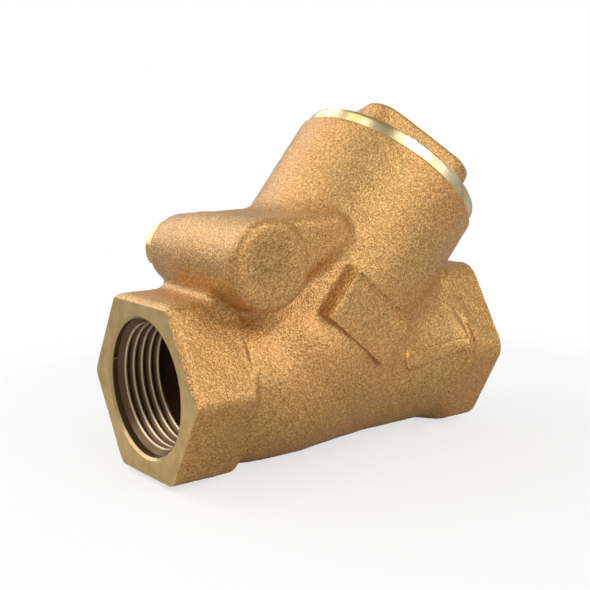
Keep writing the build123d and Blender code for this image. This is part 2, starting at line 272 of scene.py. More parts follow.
# Casting, in millimetres
bodyShape = {
    "halfFlats": 20.75,
    "cornerReach": 23.96,
    "inletHexRun": 15.4,
    "inletShoulderRun": 3.0,
    "inletCornerRound": 3.2,
    "outletHexRun": 7.2,
    "outletShoulderRun": 6.6,
    "outletCornerRound": 6.0,
    "hexEdgeRound": 0.5,
    "hexBlend": 0.8,
    "topFront": (1.0, 3.5),
    "sideFront": (2.4, 5.2),
    "barrelInset": 1.0,
    "inletBarrel": 20.6,
    "outletBarrel": 20.8,
    "neckRoot": 24.6,
    "neckTop": 25.2,
    "neckEdgeRound": 0.8,
    "neckBottomRound": 8.0,
    "rootFillet": 4.5,
    "bossNear": -25.2,
    "bossFar": 19.2,
    "bossRadius": 10.7,
    "bossMiddleRadius": 10.3,
    "bossFarRadius": 8.3,
    "bossNearRound": 2.4,
    "bossFarRound": 5.5,
    "bossCrown": 0.004,
    "bossFillets": (4.0, 3.0),
    "bossFilletHeights": (-8, 2),
    "bossDimple": (18.1, 31.5, 2.8, 0.25),
    "housingRun": 20.0,
    "housingRise": 5.4,
    "housingStart": 9.7,
    "housingCorner": 4.5,
    "housingNear": -22.0,
    "housingFar": 7.0,
    "housingRound": 2.6,
    "housingBlend": 0.8,
    "castingMark": ((9.3, -5.8, 29.4), (9.5, -5.9, 27.0), (10.7, -1.6, 23.2)),
    "castingMarkRadius": 0.42,
    "padReach": 25.68,
    "padHalfLength": 11.0,
    "padHalfHeight": 6.7,
    "padCentre": 18.8,
    "padDraft": 0.14,
    "padCornerRound": 1.0,
    "padEdgeRound": 0.4,
    "padFillet": 0.35,
    "padRoot": 12.0,
    "padGroove": (1.0, 0.72, 0.5),  # inset, half width, depth
    "arrowTail": (63.6, 0.6),
    "arrowTip": (81.9, 2.5),
    "arrowHalfWidths": (2.4, 1.2),
    "arrowRise": 0.5,
    "arrowRound": 0.3,
    "arrowHeadStart": 72.0,
    "arrowHeadHalf": 8.0,
    "arrowHeadSweep": 0.036,
    "arrowHeadRise": 0.7,
    "arrowHeadEdge": 0.5,
    "arrowHeadLip": 0.2,
    "arrowHeadGroove": (1.1, 1.0),
    "threadRoot": 16.15,
    "threadDepth": 17.0,
    "mouthRadius": 16.8,
    "mouthDepth": 1.0,
    "inletPassage": 15.0,
    "outletPassage": 16.0,
    "passageInset": 10.0,
    "seatFloor": 2.4,
    "seatWall": 4.4,
    "seatTop": 3.6,
    "portRadius": 12.5,
    "portReach": 10.0,
    "portOverlap": 1.0,
    "seatWidth": 1.7,
    "chamberRadius": 20.2,
    "capThreadRadius": 20.5,
    "capThreadLength": 12.0,
    "pocketRadius": 7.1,
    "pocketHalfWidth": 7.1,
    "pocketStart": 16.0,
    "swingRoom": 1.2,
    "pinRadius": 2.52,
    "pinNear": -17.0,
    "plugSeat": 18.3,
    "plugHole": 5.1,
    "plugHoleDepth": 7.0,
    "wobble": 0.07,
    "wobbleLength": 11.0,
    "box": ((-1.13, -27.1, -23.2), (93.7, 27.2, 61.7)),
    "step": 0.46,
    "triangles": 192000,
    "sharpAngle": 34,
}


# Swell of the barrel along the flow (mm)
barrelSwell = {
    "steady": (-10.0, 13.0, 57.0, 110.0),  # plain barrel up to the second place and from the third
    "stations": ((23.5, 23.62, 21.8), (34.4, 24.36, 21.9), (45.5, 23.02, 21.3)),  # place, half width and height
    "span": (-5.0, 100.0),
    "spacing": 0.25,
    "window": 33,  # samples over which the stations are eased into each other
}


def swellTable():
    b, s = bodyShape, barrelSwell
    first, begin, end, last = s["steady"]
    inlet, outlet = [b["inletBarrel"]] * 2, [b["outletBarrel"]] * 2
    stations = np.array([(first, *inlet), (begin, *inlet), *s["stations"], (end, *outlet), (last, *outlet)])
    low, high = s["span"]
    margin = s["spacing"] * (s["window"] // 2)
    x = np.arange(low, high, s["spacing"])
    samples = np.arange(low - margin, high + margin + 0.5 * s["spacing"], s["spacing"])
    window = np.hanning(s["window"])
    window /= window.sum()
    columns = []
    for c in (1, 2):
        raw = np.interp(samples, stations[:, 0], stations[:, c])
        columns.append(np.convolve(raw, window, mode="valid")[:len(x)])
    return x, columns[0], columns[1]


swellX, swellWidth, swellHeight = swellTable()


def barrelAndNeck(x, y, z, n, t):
    b = bodyShape
    width = np.interp(x, swellX, swellWidth)
    height = np.interp(x, swellX, swellHeight)
    barrel = (np.hypot(y / width, z / height) - 1) * height
    # the barrel ends inside the hexagons
    outletStart = layout["faceToFace"] - b["outletHexRun"]
    inlet = b["inletHexRun"] + b["barrelInset"] - x
    barrel = np.maximum(barrel, np.maximum(inlet, x - outletStart + b["barrelInset"]))
    taper = (b["neckTop"] - b["neckRoot"]) / layout["neckLength"]
    neck = np.hypot(n, y) - b["neckRoot"] - taper * t
    neck = roundCut(neck, t - layout["neckLength"], b["neckEdgeRound"])
    neck = roundCut(neck, -t, b["neckBottomRound"])
    return roundUnion(barrel, neck, b["rootFillet"])


def hexEnd(y, z, past, barrel, shoulderRun, cornerRound):
    # hexagon whose corners fall to the barrel over a conical shoulder, past the end of its run
    b = bodyShape
    fall = b["cornerReach"] - barrel
    tilt = np.hypot(fall, shoulderRun)
    shoulder = (past * fall + (np.hypot(y, z) - b["cornerReach"]) * shoulderRun) / tilt
    return roundCut(hexSection(y, z, b["halfFlats"], cornerRound), shoulder, b["hexEdgeRound"])


def hingeBoss(x, y, z):
    # boss across the neck, and the housing that carries its top on into the neck
    b = bodyShape
    p, q = x - layout["hingeX"], z - layout["hingeZ"]
    radii = (b["bossRadius"], b["bossMiddleRadius"], b["bossFarRadius"])
    boss = np.hypot(p, q) - np.interp(y, (b["bossNear"], 0, b["bossFar"]), radii)
    dimpleX, dimpleZ, dimpleRadius, dimpleDepth = b["bossDimple"]
    dimple = np.hypot(x - dimpleX, z - dimpleZ) / dimpleRadius
    sunk = dimpleDepth * np.maximum(1 - dimple * dimple, 0) + b["bossCrown"] * (p * p + q * q)
    boss = roundCut(boss, b["bossNear"] + sunk - y, b["bossNearRound"])
    boss = roundCut(boss, y - b["bossFar"], b["bossFarRound"])
    corner = (b["housingRun"], b["housingRise"])
    housing = taperedBar(p, q, (0, 0), corner, b["housingStart"], b["housingCorner"])
    housing = roundCut(housing, b["housingNear"] - y, b["housingRound"])
    housing = roundCut(housing, y - b["housingFar"], b["housingRound"])
    fillet = np.interp(q, b["bossFilletHeights"], b["bossFillets"])
    return roundUnion(boss, housing, b["housingBlend"]), fillet


def cutMark(form, x, y, z):
    # sunken casting mark under the boss
    b = bodyShape
    for start, finish in zip(b["castingMark"], b["castingMark"][1:]):
        run = np.subtract(finish, start)
        dx, dy, dz = x - start[0], y - start[1], z - start[2]
        share = np.clip((dx * run[0] + dy * run[1] + dz * run[2]) / (run @ run), 0, 1)
        mark = np.sqrt((dx - share * run[0]) ** 2 + (dy - share * run[1]) ** 2 + (dz - share * run[2]) ** 2)
        form = np.maximum(form, b["castingMarkRadius"] - mark)
    return form


def nearPad(y, n, t):
    # raised pad with a shallow line round its face
    b = bodyShape
    spread = b["padDraft"] * (y + b["padReach"])
    length = np.abs(n) - b["padHalfLength"] - spread
    height = np.abs(t - b["padCentre"]) - b["padHalfHeight"] - spread
    pad = roundCut(length, height, b["padCornerRound"])
    inset, halfWidth, depth = b["padGroove"]
    groove = np.abs(b["padHalfLength"] - inset - n)
    groove = np.minimum(groove, np.abs(b["padHalfHeight"] - inset - t + b["padCentre"]))
    sunk = depth * np.clip(1 - (groove / halfWidth) ** 2, 0, 1)
    pad = roundCut(pad, -y - b["padReach"] + sunk, b["padEdgeRound"])
    return np.maximum(pad, y + b["padRoot"])


def addArrow(form, x, y, z):
    # flow arrow, raised on the near side, with a swept head
    b = bodyShape
    wide, narrow = b["arrowHalfWidths"]
    arrow = taperedBar(x, z, b["arrowTail"], b["arrowTip"], wide, narrow)
    arrow = np.maximum(roundCut(arrow, form - b["arrowRise"], b["arrowRound"]), y)
    form = roundUnion(form, arrow, b["arrowRound"])
    tipX, tipZ = b["arrowTip"]
    lift = np.clip(1 - ((z - tipZ) / b["arrowHeadHalf"]) ** 2, 0, 1) * (y < 0)
    ahead = x - tipX + b["arrowHeadSweep"] * (z - tipZ) ** 2
    grown = np.clip((x - b["arrowHeadStart"]) / (tipX - b["arrowHeadStart"]), 0, 1)
    grown = grown * np.clip(-ahead / b["arrowHeadEdge"], 0, 1)
    halfWidth, depth = b["arrowHeadGroove"]
    sunk = depth * np.clip(1 - ((ahead - b["arrowHeadLip"] - halfWidth) / halfWidth) ** 2, 0, 1)
    return form + lift * (sunk - b["arrowHeadRise"] * grown)


def castOutside(x, y, z):
    b = bodyShape
    n, t = neckCoordinates(x, z)
    form = barrelAndNeck(x, y, z, n, t)
    past = x - b["inletHexRun"]
    inlet = hexEnd(y, z, past, b["inletBarrel"], b["inletShoulderRun"], b["inletCornerRound"])
    for across, stock, edge in ((z, *b["topFront"]), (0.5 * z - 0.5 * sqrt(3) * y, *b["sideFront"])):
        inlet = np.maximum(inlet, roundCut(across - b["halfFlats"], -x - stock, edge))
    form = roundUnion(form, inlet, b["hexBlend"])
    past = layout["faceToFace"] - b["outletHexRun"] - x
    outlet = hexEnd(y, z, past, b["outletBarrel"], b["outletShoulderRun"], b["outletCornerRound"])
    form = roundUnion(form, outlet, b["hexBlend"])
    boss, fillet = hingeBoss(x, y, z)
    form = roundUnion(form, boss, fillet)
    form = cutMark(form, x, y, z)
    form = roundUnion(form, nearPad(y, n, t), b["padFillet"])
    form = addArrow(form, x, y, z)
    return form + castWobble(x, y, z, b["wobble"], b["wobbleLength"])


def seatHollow(x, rod, mast, t):
    # passages under and over the seat wall, the chamber, the seat ring and its port, and the cap's thread
    b = bodyShape
    wallFoot = b["seatFloor"] - b["seatWall"]
    under = np.maximum(rod - b["inletPassage"], t - wallFoot)
    over = np.maximum(rod - b["outletPassage"], b["seatFloor"] - t)
    over = np.maximum(over, x - layout["faceToFace"] + b["passageInset"])
    chamber = np.maximum(mast - b["chamberRadius"], b["seatFloor"] - t)
    hollow = np.minimum(np.minimum(np.maximum(under, b["passageInset"] - x), over), chamber)
    ring = np.maximum(mast - b["portRadius"] - b["seatWidth"], t - b["seatTop"])
    hollow = np.maximum(hollow, -np.maximum(ring, wallFoot - t))
    port = np.maximum(t - b["portReach"], wallFoot - b["portOverlap"] - t)
    hollow = np.minimum(hollow, np.maximum(mast - b["portRadius"], port))
    capThread = np.maximum(mast - b["capThreadRadius"], layout["neckLength"] - b["capThreadLength"] - t)
    return np.minimum(hollow, capThread)


def hingeHollow(x, y, z, n, t):
    # pocket for the hanger's eye, the pin's bore and the plug's hole
    b = bodyShape
    hingeN, hingeT = neckCoordinates(layout["hingeX"], layout["hingeZ"])
    reach = np.hypot(x - layout["hingeX"], z - layout["hingeZ"])
    swing = (t - hingeT + n - hingeN - b["swingRoom"]) * sqrt(0.5)
    slot = np.maximum(hingeT - b["pocketRadius"] - t, swing)
    slot = np.maximum(slot, np.maximum(b["pocketStart"] - n, n - hingeN))
    pocket = np.maximum(np.minimum(reach - b["pocketRadius"], slot), np.abs(y) - b["pocketHalfWidth"])
    pin = np.maximum(reach - b["pinRadius"], b["pinNear"] - y)
    plug = np.maximum(reach - b["plugHole"], b["plugSeat"] - b["plugHoleDepth"] - y)
    spot = np.maximum(reach - b["bossRadius"], b["plugSeat"] - y)
    return np.minimum(pocket, np.minimum(np.minimum(pin, plug), spot))


def bodyField(x, y, z):
    b = bodyShape
    rod = np.hypot(y, z)
    n, t = neckCoordinates(x, z)
    end = layout["faceToFace"]
    form = castOutside(x, y, z)
    form = np.maximum(form, np.maximum(-x, x - end))
    form = np.maximum(form, t - layout["neckLength"])
    hollow = np.minimum(seatHollow(x, rod, np.hypot(n, y), t), hingeHollow(x, y, z, n, t))
    # threaded mouths
    for depth in (x, end - x):
        thread = np.maximum(rod - b["threadRoot"], depth - b["threadDepth"])
        mouth = np.maximum((rod - b["mouthRadius"] + depth) * sqrt(0.5), depth - b["mouthDepth"])
        hollow = np.minimum(hollow, np.minimum(thread, mouth))
    return np.maximum(form, -hollow)


def buildBody():
    b = bodyShape
    piece = addObject("valveBody", contourMesh("valveBody", bodyField, b["box"], b["step"]))
    thinOut(piece, b["triangles"])
    shadeSmooth(piece.data, b["sharpAngle"])
    return piece


body = buildBody()
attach(body, "body")
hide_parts("valve_body")
print("casting done")

# Cap with its cast square head, in millimetres
capShape = {
    "flangeRadius": 24.27,
    "flangeThickness": 3.1,
    "flangeRound": 0.6,
    "headHalf": 16.2,
    "headHeight": 7.2,
    "headCorner": 7.3,
    "headTurn": radians(21.0),
    "headDraft": 0.035,
    "headEdgeRound": 1.5,
    "headFillet": 0.8,
    "threadRadius": 20.4,
    "threadLength": 12.0,
    "threadOverlap": 0.5,
    "wall": 4.2,
    "crown": 2.1,
    "crownOverlap": 0.2,
    "wobble": 0.08,
    "wobbleLength": 9.0,
    "box": ((-25.2, -25.1, -12.9), (25.3, 25.3, 11.4)),  # across, y and along the neck
    "step": 0.42,
    "triangles": 60000,
    "sharpAngle": 34,
    "ringMargin": 0.02,
}


def capField(n, y, t):
    # n across and t along the neck, with t zero on the neck's top face
    c = capShape
    mast = np.hypot(n, y)
    turn = c["headTurn"]
    p, q = n * cos(turn) + y * sin(turn), -n * sin(turn) + y * cos(turn)
    lift = c["headDraft"] * (t - c["flangeThickness"])
    half = c["headHalf"] - c["headCorner"]
    dp, dq = np.abs(p) - half + lift, np.abs(q) - half + lift
    square = np.hypot(np.maximum(dp, 0), np.maximum(dq, 0)) + np.minimum(np.maximum(dp, dq), 0)
    square = square - c["headCorner"]
    head = roundCut(square, t - c["flangeThickness"] - c["headHeight"], c["headEdgeRound"])
    head = head + castWobble(n, y, t, c["wobble"], c["wobbleLength"])
    head = np.maximum(head, -t)
    flange = np.maximum(roundCut(mast - c["flangeRadius"], t - c["flangeThickness"], c["flangeRound"]), -t)
    thread = np.maximum(t - c["threadOverlap"], -t - c["threadLength"])
    thread = np.maximum(mast - c["threadRadius"], thread)
    form = np.minimum(roundUnion(flange, head, c["headFillet"]), thread)
    # hollow inside the skirt, and tapering up into the head
    inner = np.maximum(mast - c["threadRadius"] + c["wall"], t)
    slope = (c["threadRadius"] - c["wall"] - (c["headHalf"] - c["wall"])) / (c["headHeight"] - c["crown"])
    upper = np.maximum(-t - c["crownOverlap"], t - c["headHeight"] + c["crown"])
    upper = np.maximum(mast - c["threadRadius"] + c["wall"] + slope * t, upper)
    return np.maximum(form, -np.minimum(inner, upper))


def neckToFrame(place):
    # from across, y and along the neck to the frame
    n, y, t = place[:, 0], place[:, 1], place[:, 2] + layout["neckLength"]
    x = layout["neckFoot"] - n * leanSin + t * leanCos
    return np.stack([x, y, n * leanCos + t * leanSin], 1)


def buildCap():
    c = capShape
    mesh = contourMesh("capPiece", capField, c["box"], c["step"], neckToFrame)
    mesh.flip_normals()  # the neck's coordinates are left-handed
    piece = addObject("capPiece", mesh)
    thinOut(piece, c["triangles"])
    shadeSmooth(piece.data, c["sharpAngle"])
    return piece


cap = buildCap()
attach(cap, "body")
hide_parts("cap")
print("cap done")


# Finishes
def newMaterial(name):
    material = bpy.data.materials.new(name)
    material.use_nodes = True
    nodes, links = material.node_tree.nodes, material.node_tree.links
    coords = nodes.new("ShaderNodeTexCoord").outputs["Object"]
    return material, nodes, links, nodes["Principled BSDF"], coords


def noiseNode(nodes, links, coords, scale, detail, roughness):
    node = nodes.new("ShaderNodeTexNoise")
    node.inputs["Scale"].default_value = scale
    node.inputs["Detail"].default_value = detail
    node.inputs["Roughness"].default_value = roughness
    links.new(coords, node.inputs["Vector"])
    return node.outputs["Fac"]


def rampNode(nodes, links, value, places, colours):
    node = nodes.new("ShaderNodeValToRGB")
    elements = node.color_ramp.elements
    while len(elements) < len(places):
        elements.new(0.5)
    for element, place, colour in zip(elements, places, colours):
        element.position = place
        element.color = (*colour, 1)
    links.new(value, node.inputs["Fac"])
    return node.outputs["Color"]


def setOrLink(links, socket, value):
    if isinstance(value, tuple):
        socket.default_value = (*value, 1)
    elif isinstance(value, float):
        socket.default_value = value
    else:
        links.new(value, socket)


def mixColour(nodes, links, factor, a, b, blend="MIX"):
    node = nodes.new("ShaderNodeMix")
    node.data_type = "RGBA"
    node.blend_type = blend
    for socket, value in ((node.inputs["Factor"], factor), (node.inputs[6], a), (node.inputs[7], b)):
        setOrLink(links, socket, value)
    return node.outputs[2]


def rangeNode(nodes, links, value, low, high, results=(0.0, 1.0), kind="LINEAR"):
    node = nodes.new("ShaderNodeMapRange")
    node.interpolation_type = kind
    node.inputs["From Min"].default_value = low
    node.inputs["From Max"].default_value = high
    node.inputs["To Min"].default_value, node.inputs["To Max"].default_value = results
    links.new(value, node.inputs["Value"])
    return node.outputs["Result"]


def mathsNode(nodes, links, operation, a, b):
    node = nodes.new("ShaderNodeMath")
    node.operation = operation
    for socket, value in zip(node.inputs, (a, b)):
        setOrLink(links, socket, value)
    return node.outputs[0]


def vectorNode(nodes, links, operation, vector, other=(0, 0, 0)):
    node = nodes.new("ShaderNodeVectorMath")
    node.operation = operation
    links.new(vector, node.inputs[0])
    node.inputs[1].default_value = other
    return node.outputs


def addBump(nodes, links, shader, height, strength, distance):
    node = nodes.new("ShaderNodeBump")
    node.inputs["Strength"].default_value = strength
    node.inputs["Distance"].default_value = distance
    links.new(height, node.inputs["Height"])
    links.new(node.outputs["Normal"], shader.inputs["Normal"])


def mottledBase(nodes, links, shader, coords, f):
    # a dark and a light tone that run into each other
    mottle = noiseNode(nodes, links, coords, *f["mottle"])
    tone = rampNode(nodes, links, mottle, f["stops"], (f["dark"], f["light"]))
    links.new(tone, shader.inputs["Base Color"])
    return mottle


castFinish = {
    "grain": (2100.0, 2.0, 0.6),  # scale, detail and roughness of a noise
    "pits": (800.0, 3.0, 0.6),
    "patches": (48.0, 3.0, 0.5),
    "dark": (0.37, 0.180, 0.044),
    "middle": (0.62, 0.325, 0.092),
    "light": (0.90, 0.54, 0.20),
    "grainStops": (0.29, 0.5, 0.66),
    "pitted": (0.84, 0.83, 0.80),
    "pitStops": (0.3, 0.6),
    "olive": (0.96, 1.0, 0.97),
    "ruddy": (1.05, 0.98, 0.96),
    "patchStops": (0.38, 0.62),
    # tint of the painted shade laid into creases
    "creaseShade": (0.52, 0.42, 0.33),
    "creaseShadeSpread": (0.0010, 0.78, 0.40),  # reach (m), and how open where it starts and is full
    "ridge": (1.14, 1.12, 1.10),
    "ridgeSpread": (0.0012, 0.97, 0.6),
    "shelterSamples": 8,
    # patch of real dirt and painted shade on the boss end
    "dirtAndShade": (0.72, 0.70, 0.64),
    "dirtAndShadePlace": (0.0187, -0.0255, 0.0305),
    "dirtAndShadeRadius": 0.0085,
    "dirtAndShadeCore": 0.2,
    "metallic": 0.5,
    "specular": 0.8,
    "roughness": (0.30, 0.46),
    "roughnessPits": (0.3, 0.7),
    "bump": (0.8, 0.0002),  # strength, distance
}
untinted = (1.0, 1.0, 1.0)


def castBronze():
    f = castFinish
    material, nodes, links, shader, coords = newMaterial("castBronze")
    grain = noiseNode(nodes, links, coords, *f["grain"])
    pits = noiseNode(nodes, links, coords, *f["pits"])
    patches = noiseNode(nodes, links, coords, *f["patches"])
    colour = rampNode(nodes, links, grain, f["grainStops"], (f["dark"], f["middle"], f["light"]))
    pitted = rampNode(nodes, links, pits, f["pitStops"], (f["pitted"], untinted))
    colour = mixColour(nodes, links, 1.0, colour, pitted, "MULTIPLY")
    hue = rampNode(nodes, links, patches, f["patchStops"], (f["olive"], f["ruddy"]))
    colour = mixColour(nodes, links, 1.0, colour, hue, "MULTIPLY")
    # painted shade darkens the hollows, and ridges are rubbed bright
    for within, tint, spread in ((False, f["creaseShade"], f["creaseShadeSpread"]), (True, f["ridge"], f["ridgeSpread"])):
        shelter = nodes.new("ShaderNodeAmbientOcclusion")
        shelter.samples = f["shelterSamples"]
        shelter.only_local = True
        shelter.inside = within
        shelter.inputs["Distance"].default_value = spread[0]
        share = rangeNode(nodes, links, shelter.outputs["AO"], *spread[1:])
        tinted = mixColour(nodes, links, share, untinted, tint)
        colour = mixColour(nodes, links, 1.0, colour, tinted, "MULTIPLY")
    # darker patch on the end of the hinge boss: partly real dirt, partly painted shade
    away = vectorNode(nodes, links, "DISTANCE", coords, f["dirtAndShadePlace"])["Value"]
    core = f["dirtAndShadeCore"] * f["dirtAndShadeRadius"]
    share = rangeNode(nodes, links, away, f["dirtAndShadeRadius"], core, kind="SMOOTHSTEP")
    dirtiedAndShaded = mixColour(nodes, links, share, untinted, f["dirtAndShade"])
    colour = mixColour(nodes, links, 1.0, colour, dirtiedAndShaded, "MULTIPLY")
    links.new(colour, shader.inputs["Base Color"])
    shader.inputs["Metallic"].default_value = f["metallic"]
    shader.inputs["Specular IOR Level"].default_value = f["specular"]
    dull = rangeNode(nodes, links, pits, *f["roughnessPits"], f["roughness"])
    links.new(dull, shader.inputs["Roughness"])
    addBump(nodes, links, shader, mathsNode(nodes, links, "ADD", grain, pits), *f["bump"])
    return material


coreShadeFinish = {
    "mottle": (700.0, 4.0, 0.6),
    # near-black tones: painted shade inside the casting
    "dark": (0.012, 0.007, 0.003),
    "light": (0.035, 0.020, 0.009),
    "stops": (0.3, 0.7),
    "metallic": 0.3,
    "roughness": 0.75,
    "bump": (0.8, 0.00015),
}


def coreShade():
    # the inner faces left by the sand cores, painted near black as the shade of the dark inside
    f = coreShadeFinish
    material, nodes, links, shader, coords = newMaterial("coreShade")
    grain = mottledBase(nodes, links, shader, coords, f)
    shader.inputs["Metallic"].default_value = f["metallic"]
    shader.inputs["Roughness"].default_value = f["roughness"]
    addBump(nodes, links, shader, grain, *f["bump"])
    return material


turnedFinish = {
    "mottle": (260.0, 3.0, 0.5),
    "dark": (0.72, 0.48, 0.18),
    "light": (0.84, 0.59, 0.25),
    "stops": (0.38, 0.6),
    "roughness": 0.28,
    "fine": (900.0, 3.0, 0.6),
    "bump": (0.5, 0.00004),
}
# the cap's turned ring: broad patches from dark to near white are painted reflections
ringReflectionFinish = {
    **turnedFinish,
    "mottle": (75.0, 3.0, 0.5),
    "dark": (0.50, 0.37, 0.16),
    "light": (0.98, 0.86, 0.58),
    "roughness": 0.25,
}


def turnedBronze(name, f):
    material, nodes, links, shader, coords = newMaterial(name)
    mottledBase(nodes, links, shader, coords, f)
    shader.inputs["Metallic"].default_value = 1.0
    shader.inputs["Roughness"].default_value = f["roughness"]
    addBump(nodes, links, shader, noiseNode(nodes, links, coords, *f["fine"]), *f["bump"])
    return material


threadFinish = {
    # painted highlight on the crests and painted shade on the flanks
    "crestHighlight": (0.86, 0.66, 0.44),
    "flankShade": (0.15, 0.082, 0.036),
    "mouth": (0.60, 0.44, 0.20),
    "radii": (0.0146, 0.0170),
    "stops": (0.09, 0.20, 0.64, 0.70),
    "metallic": 0.7,
    "roughness": 0.32,
}


def threadBronze():
    # painted highlight on the crests, painted shade on the flanks and roots; told apart by their distance from
    # the axis
    f = threadFinish
    material, nodes, links, shader, coords = newMaterial("threadBronze")
    across = vectorNode(nodes, links, "MULTIPLY", coords, (0, 1, 1))["Vector"]
    radius = vectorNode(nodes, links, "LENGTH", across)["Value"]
    share = rangeNode(nodes, links, radius, *f["radii"])
    tone = rampNode(nodes, links, share, f["stops"], (f["crestHighlight"], f["flankShade"], f["flankShade"], f["mouth"]))
    links.new(tone, shader.inputs["Base Color"])
    shader.inputs["Metallic"].default_value = f["metallic"]
    shader.inputs["Roughness"].default_value = f["roughness"]
    return material


softFinish = {
    "mottle": (500.0, 3.0, 0.5),
    "dark": (0.66, 0.65, 0.62),
    "light": (0.80, 0.79, 0.76),
    "stops": (0.3, 0.7),
    "roughness": 0.55,
}


def softSeat():
    material, nodes, links, shader, coords = newMaterial("softSeat")
    mottledBase(nodes, links, shader, coords, softFinish)
    shader.inputs["Roughness"].default_value = softFinish["roughness"]
    return material


cast = castBronze()
core = coreShade()
turned = turnedBronze("turnedBronze", turnedFinish)
ringWithReflections = turnedBronze("ringBronzeReflections", ringReflectionFinish)
threaded = threadBronze()
soft = softSeat()

# Pipe threads, in millimetres: one tree sweeps the ridge along a helix, and each end sets its own sizes
threadShape = {
    "Root radius": 16.15,
    "Pitch": 2.209,
    "Turns": 5.7,
    "Ridge height": 1.42,
    "Foot width": 1.85,
    "Crest width": 0.32,
    "Sunk": 0.3,
    "Fade": 0.03,
    "Least thickness": 0.05,
}
stepsPerTurn = 72
threadSharpAngle = 30
firstTurn = 0.95
threadPlaces = {
    "inletThread": {"Start": firstTurn, "Turned": radians(90)},
    "outletThread": {"Start": layout["faceToFace"] - firstTurn, "Turned": radians(-90)},
}


def buildThreadTree():
    tree = bpy.data.node_groups.new("pipeThread", "GeometryNodeTree")
    tree.interface.new_socket("Geometry", in_out="INPUT", socket_type="NodeSocketGeometry")
    tree.interface.new_socket("Geometry", in_out="OUTPUT", socket_type="NodeSocketGeometry")
    for name in (*threadShape, "Start", "Turned"):
        tree.interface.new_socket(name, in_out="INPUT", socket_type="NodeSocketFloat")
    tree.interface.new_socket("Material", in_out="INPUT", socket_type="NodeSocketMaterial")
    nodes, links = tree.nodes, tree.links
    inputs = nodes.new("NodeGroupInput").outputs
    result = nodes.new("NodeGroupOutput")

    def maths(operation, a, b):
        return mathsNode(nodes, links, operation, a, b)

    def vector(**parts):
        node = nodes.new("ShaderNodeCombineXYZ")
        for axis, value in parts.items():
            links.new(value, node.inputs[axis])
        return node.outputs[0]

    helix = nodes.new("GeometryNodeCurveSpiral")
    helix.inputs["Resolution"].default_value = stepsPerTurn
    wall = maths("ADD", inputs["Root radius"], inputs["Sunk"])
    links.new(wall, helix.inputs["Start Radius"])
    links.new(wall, helix.inputs["End Radius"])
    links.new(inputs["Turns"], helix.inputs["Rotations"])
    links.new(maths("MULTIPLY", inputs["Turns"], inputs["Pitch"]), helix.inputs["Height"])
    upright = nodes.new("GeometryNodeSetCurveNormal")
    upright.mode = "Z_UP"
    links.new(helix.outputs["Curve"], upright.inputs["Curve"])
    # the ridge runs out into the wall at both ends
    place = nodes.new("GeometryNodeSplineParameter").outputs["Factor"]
    nearEnd = maths("MINIMUM", place, maths("SUBTRACT", 1.0, place))
    thickness = maths("MINIMUM", maths("DIVIDE", nearEnd, inputs["Fade"]), 1.0)
    ridge = nodes.new("GeometryNodeCurvePrimitiveQuadrilateral")
    ridge.mode = "TRAPEZOID"
    tall = maths("ADD", inputs["Ridge height"], inputs["Sunk"])
    links.new(tall, ridge.inputs["Height"])
    links.new(inputs["Foot width"], ridge.inputs["Bottom Width"])
    links.new(inputs["Crest width"], ridge.inputs["Top Width"])
    profile = nodes.new("GeometryNodeTransform")
    links.new(ridge.outputs["Curve"], profile.inputs["Geometry"])
    profile.inputs["Rotation"].default_value = (0, 0, radians(-90))
    links.new(vector(X=maths("MULTIPLY", tall, 0.5)), profile.inputs["Translation"])
    sweep = nodes.new("GeometryNodeCurveToMesh")
    links.new(upright.outputs["Curve"], sweep.inputs["Curve"])
    links.new(profile.outputs["Geometry"], sweep.inputs["Profile Curve"])
    links.new(maths("MAXIMUM", thickness, inputs["Least thickness"]), sweep.inputs["Scale"])
    sweep.inputs["Fill Caps"].default_value = True
    lay = nodes.new("GeometryNodeTransform")
    links.new(sweep.outputs["Mesh"], lay.inputs["Geometry"])
    links.new(vector(Y=inputs["Turned"]), lay.inputs["Rotation"])
    links.new(vector(X=inputs["Start"]), lay.inputs["Translation"])
    toMetres = nodes.new("GeometryNodeTransform")
    toMetres.inputs["Scale"].default_value = (mm, mm, mm)
    links.new(lay.outputs["Geometry"], toMetres.inputs["Geometry"])
    real = nodes.new("GeometryNodeRealizeInstances")
    links.new(toMetres.outputs["Geometry"], real.inputs["Geometry"])
    painted = nodes.new("GeometryNodeSetMaterial")
    links.new(real.outputs["Geometry"], painted.inputs["Geometry"])
    links.new(inputs["Material"], painted.inputs["Material"])
    links.new(painted.outputs["Geometry"], result.inputs["Geometry"])
    return tree


def setInput(modifier, name, value):
    for item in modifier.node_group.interface.items_tree:
        if item.in_out == "INPUT" and item.name == name:
            modifier[item.identifier] = value


def buildThread(name, tree):
    piece = addObject(name, bpy.data.meshes.new(name))
    modifier = piece.modifiers.new("thread", "NODES")
    modifier.node_group = tree
    for size, value in {**threadShape, **threadPlaces[name]}.items():
        setInput(modifier, size, value)
    setInput(modifier, "Material", threaded)
    mesh = bakeModifiers(piece)
    shadeSmooth(mesh, threadSharpAngle)
    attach(piece, "body")
    return piece


threadTree = buildThreadTree()
for name in threadPlaces:
    buildThread(name, threadTree)
print("threads done")


def faceValues(mesh, kind):
    values = np.empty(len(mesh.polygons) * 3)
    mesh.polygons.foreach_get(kind, values)
    return values.reshape(-1, 3)


def setMaterials(mesh, *materials):
    mesh.materials.clear()
    for material in materials:
        mesh.materials.append(material)


# How near a machined surface a face has to be to count as machined (mm)
bodyPaint = {
    "endMargin": 0.2,
    "mouthMargin": 0.2,
    "capThreadMargins": (0.6, 0.3),
    "rimMargin": 0.1,
    "boreMargin": 0.3,
    "seatMargins": (0.3, 1.5),
    "facing": 0.8,  # how squarely a flat face looks along its axis
    "skinDepth": 0.6,  # faces deeper than this lie inside the casting
}


